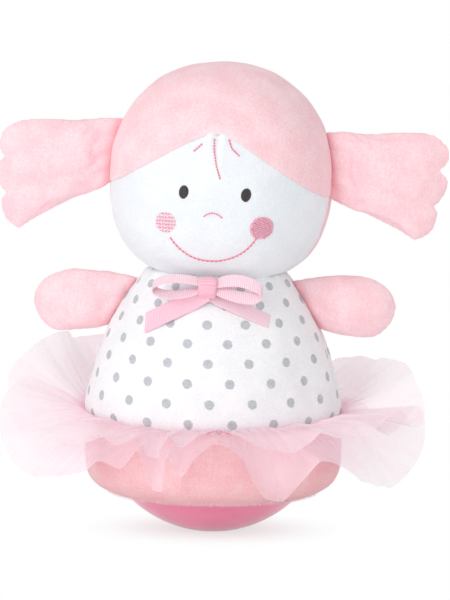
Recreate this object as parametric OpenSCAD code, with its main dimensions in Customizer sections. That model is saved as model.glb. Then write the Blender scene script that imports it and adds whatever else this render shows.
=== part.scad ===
// Plush roly-poly doll on a weighted round dish, with a rod chime under the dish's lid.
// Sizes are in millimetres. The origin is the middle of the dish's flat foot and +Z is up.
// The doll looks along -Y, and left and right are as seen by someone facing it.

/* [Dish and lid] */
// Radius of the round underside that the doll rocks on
dish_r = 50; // [48:1:54]
// Width of the flat foot at the bottom of the dish
foot_d = 20; // [14:1:24]
// Height of the dish's rim above the foot
rim_h = 15; // [14:0.5:16]
// Wall of the dish and of its lid
shell_wall = 2.2; // [1.8:0.2:2.6]
// Depth of the groove that the hem is tied into
groove_depth = 3.2; // [2.8:0.1:3.6]
// Thickness of the flanges of dish and lid
flange_t = 2.5; // [2:0.25:3.5]
// Room between the lid's raised chime chamber and the heads of the lid screws
chamber_gap = 1.2; // [0.6:0.1:2]
// Height of the chamber's crown above the lid's flange
chamber_h = 36; // [35:0.5:40]
// Radius of the chamber's rounded crown
crown_r = 40; // [34:1:60]
// Number of lid screws
lid_screw_count = 3; // [3:1:4]

/* [Ballast and chime] */
// Gap between the cast slug and the dish's mouth
ballast_gap = 0.8; // [0.6:0.1:4]
// Height of the slug's flat top above the foot
ballast_top = 16; // [14:0.5:16.5]
// Radius of the plate that carries the chime rods
plate_r = 22; // [19:0.5:23]
// Thickness of that plate
plate_t = 2.5; // [2:0.25:3]
// Number of chime rods
rod_count = 6; // [4:1:8]
// Thickness of a chime rod
rod_d = 3; // [2:0.25:3.5]
// Length of the longest rod
rod_len = 27; // [22:0.5:28]
// How much shorter each next rod is
rod_step = 0.9; // [0:0.1:1.2]
// Radius of the ring that the rods stand on
rod_ring_r = 15.5; // [15:0.25:17]
// Width of the striker's ball
ball_d = 12; // [8:0.5:12.5]
// Length from the lower pivot to the middle of the ball
striker_len = 13; // [11:0.5:14]

/* [Body] */
// Radius of the body at its widest
body_r = 54; // [50:1:58]
// Height of the widest level above the foot
waist_z = 46; // [44:1:47]
// Height of the seam between the band and the dress
seam_z = 47.5; // [47:0.5:52]
// Height of the neck seam
neck_z = 109.2; // [104:0.2:114]
// Width of the dress at the neck seam
neck_d = 58; // [54:1:60]
// Thickness of the velour with its backing
cloth_t = 1.6; // [1:0.1:2]
// Thickness of the drawcord in the hem
cord_d = 1.5; // [1:0.1:1.7]

/* [Head] */
// Radius of the head
head_r = 46; // [44:0.5:48]
// Height of the head's crown above its widest level
head_rise = 45.8; // [42:0.2:48]
// Depth of the round jaw below the widest level
head_drop = 46; // [44:0.5:48]
// Height of the head's widest level above the neck seam
head_lift = 41.2; // [40:0.1:42]
// Sideways tilt of the head in degrees
head_tilt = 3; // [0:0.5:4]
// Height of the hood's peak above the head's widest level
hood_peak = 20.6; // [17:0.2:24]
// Drop of the hood's edge at the side seams below that level
hood_side = 6.5; // [3:0.5:10]

/* [Limbs] */
// Length of an arm beyond its seam
arm_len = 36.5; // [30:0.5:42]
// Height of the middle of an arm's seam
arm_z = 95.2; // [92:0.2:97]
// Height of an arm's seam
arm_root = 20.4; // [16:0.2:22]
// Width of the hand end of an arm
arm_w = 26.6; // [22:0.2:28]
// Thickness of a stuffed arm
arm_t = 16; // [10:0.5:18]
// Length of a pigtail beyond its seam
pigtail_len = 48.2; // [40:0.2:54]
// Height of a pigtail's seam
pigtail_root = 27; // [20:0.5:28]
// Height of the seam's middle above the head's widest level
pigtail_lift = 6.6; // [1:0.2:8]
// Width of a pigtail's lobed end
pigtail_w = 48.8; // [40:0.2:54]
// Drop of the left end's middle below its seam's middle
left_droop = 14.2; // [4:0.2:16]
// Drop of the right end's middle below its seam's middle
right_droop = 5; // [4:0.2:16]
// Depth of the notches between the three lobes
notch_depth = 5.5; // [2:0.25:7]
// Thickness of a stuffed pigtail
pigtail_t = 12; // [8:0.5:14]

/* [Tutu and bow] */
// How far the tulle stands out from the waist
tutu_reach = 34; // [26:0.5:38]
// Depth of the folds as a share of the full swing
fold_share = 1; // [0.6:0.05:1]
// Thickness of a gathered layer
tulle_t = 0.8; // [0.6:0.1:1]
// Width of the ribbon
ribbon_w = 6.7; // [5:0.1:8]
// Thickness of the ribbon
ribbon_t = 0.8; // [0.6:0.1:1]
// Length of a bow loop
loop_len = 20; // [16:0.5:24]
// Depth of a bow loop
loop_depth = 5.6; // [4:0.2:6]
// Width of the knot
knot_d = 7.6; // [6:0.2:8]
// Drop of the bow's knot below the neck seam
bow_drop = 4.7; // [4.2:0.1:6]
// Length of a tail below the knot
tail_len = 28; // [20:0.5:32]

/* [Hidden] */
$fn = 96;

// Overrun of every cut
overrun = 1;
// Clearance of round faces that nest, and of soft pieces beside hard ones
seat_gap = 0.3;
// Clearance of a pin or rod in its hole, on the radius
pin_fit = 0.08;
// Straight steps along a curved outline
curve_steps = 18;

// Fasteners: shank, head and hole sizes
screw_d = 3;
screw_head_d = 5.6;
screw_head_h = 2;
screw_len = 10;
screw_hole_d = 3.4;
boss_d = 7;
centre_boss_d = 9;
// Room between the centre boss and the plate above it, so that the screw clamps the slug
clamp_gap = 0.5;

// Dish: centre of its sphere, radius at the rim, groove and flange
dish_cz = sqrt(pow(dish_r, 2) - pow(foot_d / 2, 2));
rim_r = sqrt(pow(dish_r, 2) - pow(dish_cz - rim_h, 2));
hem_cloth_t = 0.75;
hem_tunnel_r = cord_d / 2 + pin_fit + hem_cloth_t;
groove_h = 2 * hem_tunnel_r + 2 * seat_gap;
groove_r = rim_r - groove_depth;
mouth_r = groove_r - shell_wall;
flange_z = rim_h + groove_h;
lid_z = flange_z + flange_t;
lid_boss_r = mouth_r - boss_d / 4;
chamber_r = lid_boss_r - screw_head_d / 2 - chamber_gap;
ballast_r = mouth_r - ballast_gap;
hem_r = groove_r + seat_gap + hem_tunnel_r;
hem_z = rim_h + seat_gap + hem_tunnel_r;

// Lid: heights of the crown and of the boss that holds the striker
crown_z = lid_z + chamber_h;
hanger_boss_d = 9;
hanger_boss_h = 4;
hanger_z = crown_z - shell_wall - hanger_boss_h;
hanger_stem_d = 3;

// Striker: yoke, link and clevis
yoke_w = 8;
yoke_depth = 4;
yoke_t = 2;
cheek_t = 1.1;
pivot_d = 1.6;
upper_pivot_drop = 5;
pivot_spacing = 3.7;
link_depth = 3.2;
eye_wall = 0.9;
striker_rod_d = 2.4;
upper_pivot_z = hanger_z - upper_pivot_drop;
lower_pivot_z = upper_pivot_z - pivot_spacing;
cheek_gap = seat_gap;
link_w = yoke_w - 2 * cheek_t - 2 * cheek_gap;
eye_r = pivot_d / 2 + pin_fit + eye_wall;
fork_w = 2 * eye_r;
fork_drop = 2 * eye_r;
ball_z = lower_pivot_z - striker_len;

// Cloth: exponents of the rounded outlines
dress_power = 1.7;
band_power = 5.5;
crown_power = 2.1;
jaw_power = 2.65;
// Filling: clearance to the cover and wall of the hollow wad
wad_t = 4;
wad_z = lid_z + flange_t + seat_gap;
wad_inset = cloth_t + seat_gap;

// Height over which a rounded outline closes, from the radius it has at a given level
function closing(level, r_end, power) = level / pow(1 - pow(r_end / body_r, power), 1 / power);
dress_rise = closing(neck_z - waist_z, neck_d / 2, dress_power);
band_low_z = rim_h + seat_gap;
band_low_r = rim_r + seat_gap;
band_drop = closing(waist_z - band_low_z, band_low_r, band_power);
bow_z = neck_z - bow_drop;

// Radius of the dress at a height
function dress_at(z) = body_r * pow(1 - pow((z - waist_z) / dress_rise, dress_power), 1 / dress_power);
// Point of the band's outline, from the waist downwards by an angle, drawn in by an inset
function band_point(a, inset) = [
    (body_r - inset) * pow(cos(a), 2 / band_power),
    waist_z - (band_drop - inset) * pow(sin(a), 2 / band_power)
];
// Angle at which the drawn-in band comes down to a height
function band_angle(z, inset) = asin(pow((waist_z - z) / (band_drop - inset), band_power / 2));
// Point of the head's outline by an angle from its widest level, drawn in by an inset
function head_point(a, inset) = [
    (head_r - inset) * pow(abs(cos(a)), 2 / (a < 0 ? jaw_power : crown_power)),
    a < 0 ? -(head_drop - inset) * pow(-sin(a), 2 / jaw_power)
          : (head_rise - inset) * pow(sin(a), 2 / crown_power)
];
// Radius of the head at a height above its widest level
function head_at(h) = h < 0
    ? head_r * pow(1 - pow(-h / head_drop, jaw_power), 1 / jaw_power)
    : head_r * pow(1 - pow(h / head_rise, crown_power), 1 / crown_power);

function steps(from, to, count) = [for (i = [0 : count]) from + (to - from) * i / count];
function backwards(list) = [for (i = [len(list) - 1 : -1 : 0]) list[i]];
// Outline of a cloth layer between two edges that run the same way
function layer(outer, inner) = concat(outer, backwards(inner));

function dress_edge(low, inset) = [for (z = steps(low, neck_z, curve_steps)) [dress_at(z) - inset, z]];
function band_edge(low, inset) = [for (a = steps(band_angle(low, inset), 0, curve_steps)) band_point(a, inset)];
function head_edge(inset) = [for (a = steps(-90, 90, 2 * curve_steps)) head_point(a, inset)];

// Places head pieces, drawn about the middle of the head, on the tilted neck
module on_head() translate([0, 0, neck_z]) rotate([0, head_tilt, 0]) translate([0, 0, head_lift]) children();

// Takes away what lies below the neck seam
module above_neck() {
    difference() {
        children();
        translate([-head_r, -head_r, neck_z - head_drop]) cube([2 * head_r, 2 * head_r, head_drop]);
    }
}

// Copies of a piece spread evenly round Z
module around(count, r) for (i = [0 : count - 1]) rotate([0, 0, 360 * i / count]) translate([0, r, 0]) children();

// Screw with its head's seat at z = 0 and its shank downwards
module screw() {
    cylinder(d = screw_head_d, h = screw_head_h);
    translate([0, 0, -screw_len]) cylinder(d = screw_d, h = screw_len);
}

// Room for a screw's shank below z = 0
module screw_bore() {
    depth = screw_len + clamp_gap;
    translate([0, 0, -depth]) cylinder(d = screw_d + 2 * pin_fit, h = depth + overrun);
}

// Dish: round underside with a flat foot, a tied groove, a flange and screw bosses
module base_dish() color("#e98ea7") {
    difference() {
        union() {
            intersection() {
                translate([0, 0, dish_cz]) sphere(dish_r);
                cylinder(r = dish_r, h = rim_h);
            }
            translate([0, 0, rim_h]) cylinder(r = groove_r, h = groove_h);
            translate([0, 0, flange_z]) cylinder(r = rim_r, h = flange_t);
        }
        intersection() {
            translate([0, 0, dish_cz]) sphere(dish_r - shell_wall);
            translate([0, 0, shell_wall]) cylinder(r = mouth_r, h = lid_z);
        }
    }
    intersection() {
        translate([0, 0, dish_cz]) sphere(dish_r - shell_wall / 2);
        around(lid_screw_count, lid_boss_r) difference() {
            cylinder(d = boss_d, h = lid_z);
            translate([0, 0, lid_z]) screw_bore();
        }
    }
    difference() {
        translate([0, 0, shell_wall / 2]) cylinder(d = centre_boss_d, h = ballast_top - clamp_gap - shell_wall / 2);
        translate([0, 0, ballast_top]) screw_bore();
    }
}

// Lid: flange on the dish, raised chamber for the chime and a boss for the striker
module base_lid() color("#f2dfe3") difference() {
    union() {
        translate([0, 0, lid_z]) cylinder(r = rim_r, h = flange_t);
        intersection() {
            translate([0, 0, lid_z]) cylinder(r = chamber_r, h = chamber_h);
            translate([0, 0, crown_z - crown_r]) sphere(crown_r);
        }
    }
    difference() {
        intersection() {
            translate([0, 0, lid_z - overrun]) cylinder(r = chamber_r - shell_wall, h = chamber_h);
            translate([0, 0, crown_z - crown_r]) sphere(crown_r - shell_wall);
        }
        translate([0, 0, hanger_z]) cylinder(d = hanger_boss_d, h = hanger_boss_h + shell_wall);
    }
    translate([0, 0, hanger_z - overrun]) cylinder(d = hanger_stem_d + 2 * pin_fit, h = hanger_boss_h + overrun);
    around(lid_screw_count, lid_boss_r)
        translate([0, 0, lid_z - overrun]) cylinder(d = screw_hole_d, h = flange_t + 2 * overrun);
}

module lid_screws() color("silver") around(lid_screw_count, lid_boss_r) translate([0, 0, lid_z + flange_t]) screw();

// Slug: fills the bottom of the dish, notched round the lid's bosses
module ballast_weight() color("dimgray") difference() {
    intersection() {
        translate([0, 0, dish_cz]) sphere(dish_r - shell_wall - seat_gap);
        translate([0, 0, shell_wall]) cylinder(r = ballast_r, h = ballast_top - shell_wall);
    }
    around(lid_screw_count, lid_boss_r) cylinder(d = boss_d + 2 * seat_gap, h = lid_z);
    cylinder(d = centre_boss_d + 2 * seat_gap, h = lid_z);
}

module ballast_screw() color("silver") translate([0, 0, ballast_top + plate_t]) screw();

// Plate: clamped on the slug, with a blind hole for each rod
rod_seat = plate_t / 2;
module chime_plate() color("gainsboro") translate([0, 0, ballast_top]) difference() {
    cylinder(r = plate_r, h = plate_t);
    translate([0, 0, -overrun]) cylinder(d = screw_hole_d, h = plate_t + 2 * overrun);
    around(rod_count, rod_ring_r) translate([0, 0, rod_seat]) cylinder(d = rod_d + 2 * pin_fit, h = plate_t);
}

module chime_rods() color("lightsteelblue") for (i = [0 : rod_count - 1])
    rotate([0, 0, 360 * i / rod_count])
        translate([0, rod_ring_r, ballast_top + rod_seat]) cylinder(d = rod_d, h = rod_len - i * rod_step);

// Cylinder along X, centred
module pin_x(d, length) rotate([0, 90, 0]) cylinder(d = d, h = length, center = true);
// Cylinder along Y, centred
module pin_y(d, length) rotate([90, 0, 0]) cylinder(d = d, h = length, center = true);

// Hanger: stem in the lid's boss, and a yoke with the upper pivot's pin
module striker_hanger() color("silver") {
    cheek_h = upper_pivot_drop + eye_r;
    translate([0, 0, hanger_z]) cylinder(d = hanger_stem_d, h = hanger_boss_h - seat_gap);
    translate([-yoke_w / 2, -yoke_depth / 2, hanger_z - yoke_t]) cube([yoke_w, yoke_depth, yoke_t]);
    for (side = [-1, 1])
        translate([side * (yoke_w - cheek_t) / 2 - cheek_t / 2, -yoke_depth / 2, hanger_z - cheek_h])
            cube([cheek_t, yoke_depth, cheek_h - yoke_t]);
    translate([0, 0, upper_pivot_z]) pin_x(pivot_d, yoke_w - cheek_t);
}

// Link: turns on the hanger's pin and carries a crosswise pin below it
module striker_link() color("goldenrod") {
    difference() {
        union() {
            translate([0, 0, upper_pivot_z]) pin_x(2 * eye_r, link_w);
            translate([-link_w / 2, -link_depth / 2, lower_pivot_z]) cube([link_w, link_depth, pivot_spacing]);
        }
        translate([0, 0, upper_pivot_z]) pin_x(pivot_d + 2 * pin_fit, link_w + 2 * overrun);
    }
    translate([0, 0, lower_pivot_z]) pin_y(pivot_d, link_depth + 2 * (cheek_gap + cheek_t));
}

// Striker: fork on the link's pin, a rod and a ball
module striker() color("slategray") {
    fork_inner = link_depth + 2 * cheek_gap;
    difference() {
        for (side = [-1, 1]) translate([0, side * (fork_inner + cheek_t) / 2, lower_pivot_z]) {
            pin_y(2 * eye_r, cheek_t);
            translate([-eye_r, -cheek_t / 2, -fork_drop - cheek_t]) cube([fork_w, cheek_t, fork_drop + cheek_t]);
        }
        translate([0, 0, lower_pivot_z]) pin_y(pivot_d + 2 * pin_fit, fork_inner + 2 * cheek_t + 2 * overrun);
    }
    translate([-eye_r, -fork_inner / 2 - cheek_t, lower_pivot_z - fork_drop - cheek_t])
        cube([fork_w, fork_inner + 2 * cheek_t, cheek_t]);
    translate([0, 0, ball_z]) {
        cylinder(d = striker_rod_d, h = striker_len - fork_drop - cheek_t / 2);
        sphere(d = ball_d);
    }
}

module hem_drawcord() color("white") rotate_extrude() translate([hem_r, hem_z]) circle(d = cord_d);

// Band: puffs out from the waist and turns under to a hem with a tunnel for the cord
module lower_band() color("#f2bfc6") rotate_extrude() difference() {
    union() {
        polygon(layer(
            concat(band_edge(band_low_z, 0), [[dress_at(seam_z), seam_z]]),
            concat(band_edge(band_low_z + cloth_t, cloth_t), [[dress_at(seam_z) - cloth_t, seam_z]])));
        translate([hem_r, hem_z]) circle(r = hem_tunnel_r);
    }
    translate([hem_r, hem_z]) circle(r = hem_tunnel_r - hem_cloth_t);
}

// Half of a layer turned about Z: the front half or the back half
module turned_half(outline, front) rotate([0, 0, front ? 180 : 0]) rotate_extrude(angle = 180) polygon(outline);

dress_outline = layer(dress_edge(seam_z, 0), dress_edge(seam_z, cloth_t));
module dress_front_panel() color("#f6fafd") turned_half(dress_outline, true);
module dress_back_panel() color("#eef1f4") turned_half(dress_outline, false);

// Filling of the body: a hollow wad inside band and dress, open at the neck and round the lid
module body_stuffing() color("ivory") rotate_extrude() polygon(layer(
    concat(band_edge(wad_z, wad_inset), dress_edge(seam_z, wad_inset)),
    concat(band_edge(wad_z, wad_inset + wad_t), dress_edge(seam_z, wad_inset + wad_t))));

// Tulle: folds round the waist as [angle from the front, rise of the upper layer, rise of the lower], in degrees
tutu_folds = [
    [-180, 30, -14], [-160, 0, -37], [-141, 45, 8], [-126, 12, -31], [-111, 68, 14], [-95, 43, 2], [-78, 10, -35],
    [-61, -20, -50], [-44, -12, -44], [-32, -18, -35], [-27, -1, -24], [-22, -12, -30], [-17, 5, -12],
    [-14, -23, -49], [-11, -31, -51], [-8, 1, -17], [-4, -13, -34], [1, 0, -15], [6, 6, -3], [11, 1, -11],
    [16, -14, -37], [22, -29, -60], [26, -38, -62], [30, -13, -38], [35, 3, -21], [41, -9, -28], [53, -4, -43],
    [66, 2, -54], [79, -31, -60], [94, 26, -22], [110, 49, 4], [127, 0, -35], [144, 30, -2], [162, -4, -37]
];
// How soon a layer bends from level to its rise
bend_rate = 4.5;
fold_steps = 3;
tutu_steps = fold_steps * len(tutu_folds);
tutu_rings = 4;
// Value of a column of the folds at a step round the waist, eased from one fold to the next
function tutu_fold(column, i, next) = tutu_folds[(floor(i / fold_steps) + next) % len(tutu_folds)][column];
function tutu_rise(layer_no, i) = let(f = (i % fold_steps) / fold_steps, from = tutu_fold(layer_no + 1, i, 0))
    from + (tutu_fold(layer_no + 1, i, 1) - from) * (1 - cos(180 * f)) / 2;
function tutu_turn(i) = let(f = (i % fold_steps) / fold_steps, from = tutu_fold(0, i, 0))
    from + (tutu_fold(0, i, 1) - from + 360) % 360 * f;
// Middle of a layer at a step round the waist and a ring outwards
function tutu_middle(layer_no, i, j) = let(
    step = (i + tutu_steps) % tutu_steps,
    reach_share = j / tutu_rings,
    bent_share = j == 0 ? 0 : 1 - (1 - exp(-bend_rate * reach_share)) / (bend_rate * reach_share),
    rise = fold_share * tutu_rise(layer_no, step) * bent_share,
    r = body_r + seat_gap + tutu_reach * reach_share * cos(rise),
    turn = tutu_turn(step)
) [
    r * sin(turn),
    -r * cos(turn),
    seam_z + (layer_no == 0 ? 2 * tulle_t : 0) + tutu_reach * reach_share * sin(rise)
];
function unit(v) = v / norm(v);
// Direction square to a layer, upwards
function tutu_square(layer_no, i, j) = unit(cross(
    tutu_middle(layer_no, i, min(j + 1, tutu_rings)) - tutu_middle(layer_no, i, max(j - 1, 0)),
    tutu_middle(layer_no, i + 1, j) - tutu_middle(layer_no, i - 1, j)));
function tutu_point(layer_no, i, j, side) =
    tutu_middle(layer_no, i, j) + side * tulle_t / 2 * tutu_square(layer_no, i, j);

// One gathered layer: top and bottom sheets closed at the inner and outer edges
module tutu_layer(layer_no) {
    rows = 2 * (tutu_rings + 1);
    loop = concat(
        [for (j = [0 : tutu_rings]) [j, 1]],
        [for (j = [tutu_rings : -1 : 0]) [j, -1]]);
    points = [for (i = [0 : tutu_steps - 1]) for (p = loop) tutu_point(layer_no, i, p[0], p[1])];
    function at(i, k) = (i % tutu_steps) * rows + k % rows;
    faces = [for (i = [0 : tutu_steps - 1]) for (k = [0 : rows - 1]) each [
        [at(i, k), at(i, k + 1), at(i + 1, k + 1)],
        [at(i, k), at(i + 1, k + 1), at(i + 1, k)]
    ]];
    polyhedron(points, faces, convexity = 10);
}
module tutu_upper_layer() color("#f6e6ee", 0.6) tutu_layer(0);
module tutu_lower_layer() color("#f3dfe9", 0.6) tutu_layer(1);

// Head covers: the hood's edge is an inverted V with a rounded peak
peak_round_share = 0.18;
hood_edge_steps = 8;
hood_reach = head_r + overrun;
// Drop of the edge as a share of its whole drop, round at the peak and straight beside it
function soft_drop(s) = sqrt(pow(s, 2) + pow(peak_round_share, 2)) - peak_round_share;
function hood_edge(x) = hood_peak - (hood_peak + hood_side) * soft_drop(abs(x) / head_r) / soft_drop(1);
module face_region() rotate([90, 0, 0]) linear_extrude(hood_reach) polygon(concat(
    [[-hood_reach, -head_drop - overrun]],
    [for (x = steps(-hood_reach, hood_reach, 2 * hood_edge_steps)) [x, hood_edge(x)]],
    [[hood_reach, -head_drop - overrun]]));
head_outline = layer(head_edge(0), head_edge(cloth_t));

module face_panel() color("#f1f6f9") above_neck() on_head() intersection() {
    turned_half(head_outline, true);
    face_region();
}
module hood_front_panel() color("#fed7dc") above_neck() on_head() difference() {
    turned_half(head_outline, true);
    face_region();
}
module hood_back_panel() color("#f8ced4") above_neck() on_head() turned_half(head_outline, false);
module head_stuffing() color("ivory") above_neck() on_head()
    rotate_extrude() polygon(layer(head_edge(wad_inset), head_edge(wad_inset + wad_t)));

// Limbs: rings of points across a stuffed shape that is pinched flat at its seams
limb_gap = 0.8;
pinch_t = 1;
// Thickness share across a ring, from the upper edge to the lower one
lens_power = 0.55;
function lens(v) = pow(max(0, 1 - pow(v, 2)), lens_power);
// Closed solid through rings of points that run down the front and up the back
module limb(rings) {
    count = len(rings[0]);
    half = count / 2;
    last = len(rings) - 1;
    function at(i, k) = i * count + k % count;
    sides = [for (i = [0 : last - 1]) for (k = [0 : count - 1]) each [
        [at(i, k), at(i + 1, k + 1), at(i, k + 1)],
        [at(i, k), at(i + 1, k), at(i + 1, k + 1)]
    ]];
    function cap(i, k) = [at(i, k), at(i, k + 1), at(i, count - 2 - k), at(i, count - 1 - k)];
    caps = [for (k = [0 : half - 2]) each [
        [cap(0, k)[0], cap(0, k)[1], cap(0, k)[2]],
        [cap(0, k)[0], cap(0, k)[2], cap(0, k)[3]],
        [cap(last, k)[0], cap(last, k)[2], cap(last, k)[1]],
        [cap(last, k)[0], cap(last, k)[3], cap(last, k)[2]]
    ]];
    polyhedron([for (ring = rings) each ring], concat(sides, caps), convexity = 6);
}
// A ring from points [x, z, half thickness] down one edge: front face first, then the back
function ring_of(points) = concat(
    [for (p = points) [p[0], -p[2], p[1]]],
    [for (p = backwards(points)) [p[0], p[2], p[1]]]);

// Arm: grows from the slanted side seam of the dress into a round paddle
arm_steps = 12;
arm_across = 10;
arm_palm_share = 0.62;
arm_end_share = 0.99;
arm_slope = (dress_at(arm_z - arm_root / 2) - dress_at(arm_z + arm_root / 2)) / arm_root;
// Half the arm's width at a share of its length: widening to the palm, then round
function arm_half(s) = let(
    palm_s = min(1, s / arm_palm_share),
    end_s = max(0, (s - arm_palm_share) / (1 - arm_palm_share))
) (arm_root + (arm_w - arm_root) * sin(90 * palm_s)) / 2 * sqrt(1 - pow(end_s * arm_end_share, 2));
function arm_thick(s) = (pinch_t + (arm_t - pinch_t) * pow(sin(180 * pow(s, 0.8)), 0.75)) / 2;
function arm_ring(s) = ring_of([for (v = steps(1, -1, arm_across)) let(dz = v * arm_half(s)) [
    dress_at(arm_z) + limb_gap + arm_len * s - arm_slope * (1 - s) * dz,
    arm_z + dz,
    pinch_t / 2 + (arm_thick(s) - pinch_t / 2) * lens(v)
]]);
module arm() limb([for (i = [0 : arm_steps]) arm_ring(sin(90 * i / arm_steps))]);
module right_arm() color("#fddde2") arm();
module left_arm() color("#fddde2") mirror([1, 0, 0]) arm();

// Pigtail: a flat fan from the head's side seam to an end of three lobes
pigtail_steps = 11;
pigtail_across = 24;
lobe_count = 3;
low_lobe_share = 0.12;
notch_share = 0.96;
// Roundness of the lobe at a place across the end: 1 in a lobe's middle and least at a notch
function lobe(v) = let(q = lobe_count * (1 - v) / 2, f = 2 * (q - min(floor(q), lobe_count - 1)) - 1)
    sqrt(1 - notch_share * pow(f, 2));
// Length added or taken away by the lobes, which show only towards the end
function pigtail_lobes(v) = -notch_depth * (1 - lobe(v)) - pigtail_len * low_lobe_share * pow((1 - v) / 2, 2);
function pigtail_thick(s) = (pinch_t + (pigtail_t - pinch_t) * pow(sin(180 * pow(s, 0.85)), 0.6)) / 2;
function pigtail_ring(s, droop) = ring_of([for (v = steps(1, -1, pigtail_across)) let(
    root_h = pigtail_lift + v * pigtail_root / 2,
    fan_s = sqrt(s),
    half = (pigtail_root + (pigtail_w - pigtail_root) * fan_s) / 2
) [
    (1 - s) * head_at(root_h) + s * head_r + limb_gap + s * pigtail_len + pow(s, 3) * pigtail_lobes(v),
    pigtail_lift - droop * fan_s + v * half,
    pinch_t / 2 + (pigtail_thick(s) - pinch_t / 2) * lens(v)
]]);
module pigtail(droop) limb([for (s = steps(0, 1, pigtail_steps)) pigtail_ring(s, droop)]);
module right_pigtail() color("#fccbd2") on_head() pigtail(right_droop);
module left_pigtail() color("#fccbd2") on_head() mirror([1, 0, 0]) pigtail(left_droop);

// Embroidery: raised threads on the face, cut from a thin layer that follows the head
thread_t = 0.7;
thread_gap = 0.1;
thread_w = 1.1;
eye_w = 4.2;
eye_h = 5.4;
eye_x = 13.1;
eye_drop = 3.9;
cheek_r = 4.6;
cheek_x = 20.5;
cheek_drop = 18.3;
nose_w = 8;
nose_h = 2.1;
nose_drop = 11.5;
mouth_w = 37.2;
mouth_sag = 10;
mouth_drop = 24;
smile_r = (pow(mouth_w / 2, 2) + pow(mouth_sag, 2)) / (2 * mouth_sag);
nose_r = (pow(nose_w / 2, 2) + pow(nose_h, 2)) / (2 * nose_h);
// Fringe strokes as shares of the hood's peak, from the hood's edge downwards
fringe_shares = [
    [[-0.27, 0.8], [-0.44, 0.63]],
    [[0.05, 0.93], [0.02, 0.7], [0.06, 0.38], [0.12, 0.13]],
    [[0.25, 0.92], [0.33, 0.74], [0.5, 0.6]]
];
thread_outline = layer(head_edge(-thread_gap - thread_t), head_edge(-thread_gap));

module on_face() above_neck() on_head() intersection() {
    turned_half(thread_outline, true);
    rotate([90, 0, 0]) linear_extrude(head_r + thread_t + overrun) children();
}
function oval(w, h) = [for (a = [0 : 12 : 348]) [w / 2 * cos(a), h / 2 * sin(a)]];
// Stroke of thread along an arc
module arc_stroke(r, from, to) polygon(layer(
    [for (a = steps(from, to, curve_steps)) (r + thread_w / 2) * [cos(a), sin(a)]],
    [for (a = steps(from, to, curve_steps)) (r - thread_w / 2) * [cos(a), sin(a)]]));
// Stroke of thread along straight stretches, drawn out to both sides of its points
function heading(points, i) = let(d = points[min(i + 1, len(points) - 1)] - points[max(i - 1, 0)]) d / norm(d);
function beside(points, side) = [for (i = [0 : len(points) - 1])
    points[i] + side * thread_w / 2 * [-heading(points, i)[1], heading(points, i)[0]]];
module line_stroke(points) polygon(layer(beside(points, -1), beside(points, 1)));

module embroidered_eyes() color("#3c3232") on_face()
    for (side = [-1, 1]) translate([side * eye_x, -eye_drop]) polygon(oval(eye_w, eye_h));
module embroidered_cheeks() color("#e8b0c0") on_face()
    for (side = [-1, 1]) translate([side * cheek_x, -cheek_drop]) circle(r = cheek_r);
module embroidered_mouth() color("#eb6e8c") on_face() {
    spread = asin(mouth_w / 2 / smile_r);
    translate([0, smile_r - mouth_drop - mouth_sag]) arc_stroke(smile_r, 270 - spread, 270 + spread);
}
module embroidered_nose() color("#eb6e8c") on_face() {
    spread = asin(nose_w / 2 / nose_r);
    translate([0, -nose_drop - nose_r]) arc_stroke(nose_r, 90 - spread, 90 + spread);
}
module fringe_stitches() color("#f08aa2") on_face()
    for (stroke = fringe_shares) line_stroke(stroke * hood_peak);

// Bow: placed on the dress at the neck, leaning with its slope
slope_step = 2;
bow_lean = atan2(dress_at(bow_z - slope_step) - dress_at(bow_z + slope_step), 2 * slope_step);
module on_bow() translate([0, -dress_at(bow_z), bow_z]) rotate([-bow_lean, 0, 0]) children();
knot_height_share = 1.35;
knot_h = knot_height_share * ribbon_w;
knot_bulge_r = 8;
knot_out = seat_gap + knot_d / 2;
loop_twist = 38;
loop_waist_share = 0.45;

module bow_knot() color("#fbc4d6") on_bow() translate([0, -knot_out, 0]) rotate_extrude() intersection() {
    translate([knot_d / 2 - knot_bulge_r, 0]) circle(r = knot_bulge_r);
    translate([0, -knot_h / 2]) square([knot_d / 2, knot_h]);
}

// Outline of a loop that narrows to the knot, drawn in by the ribbon's thickness
function loop_edge(inset) = [for (a = [0 : 9 : 351]) [
    loop_len / 2 + (loop_len / 2 - inset) * cos(a),
    (loop_depth / 2 - inset) * sin(a) * (loop_waist_share + (1 - loop_waist_share) * (1 + cos(a)) / 2)
]];
module bow_loops() color("#f9d8e6") on_bow() for (side = [0, 1]) mirror([side, 0, 0])
    translate([knot_d / 2 + seat_gap, -loop_depth / 2 - ribbon_w / 2 * sin(loop_twist), 0]) rotate([loop_twist, 0, 0])
        linear_extrude(ribbon_w, center = true) difference() {
            polygon(loop_edge(0));
            polygon(loop_edge(ribbon_t));
        }

// Tails: strips of ribbon that lie on the dress and spread from the knot, cut at a slant
tail_spread = [42, 50];
tail_outline = layer(dress_edge(seam_z, -seat_gap - ribbon_t), dress_edge(seam_z, -seat_gap));
tail_slant = 2;
module bow_tails() color("#f9cfdf") intersection() {
    turned_half(tail_outline, true);
    rotate([90, 0, 0]) linear_extrude(2 * body_r) for (side = [0, 1]) mirror([side, 0])
        translate([knot_d / 2, bow_z]) rotate(-tail_spread[side]) translate([0, -ribbon_w / 2])
            polygon([[0, 0], [tail_len, 0], [tail_len + tail_slant, ribbon_w], [0, ribbon_w]]);
}

base_dish();
base_lid();
lid_screws();
ballast_weight();
ballast_screw();
chime_plate();
chime_rods();
striker_hanger();
striker_link();
striker();
hem_drawcord();
lower_band();
dress_front_panel();
dress_back_panel();
body_stuffing();
tutu_upper_layer();
tutu_lower_layer();
face_panel();
hood_front_panel();
hood_back_panel();
head_stuffing();
left_pigtail();
right_pigtail();
left_arm();
right_arm();
embroidered_eyes();
embroidered_nose();
embroidered_cheeks();
embroidered_mouth();
fringe_stitches();
bow_loops();
bow_tails();
bow_knot();
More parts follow.
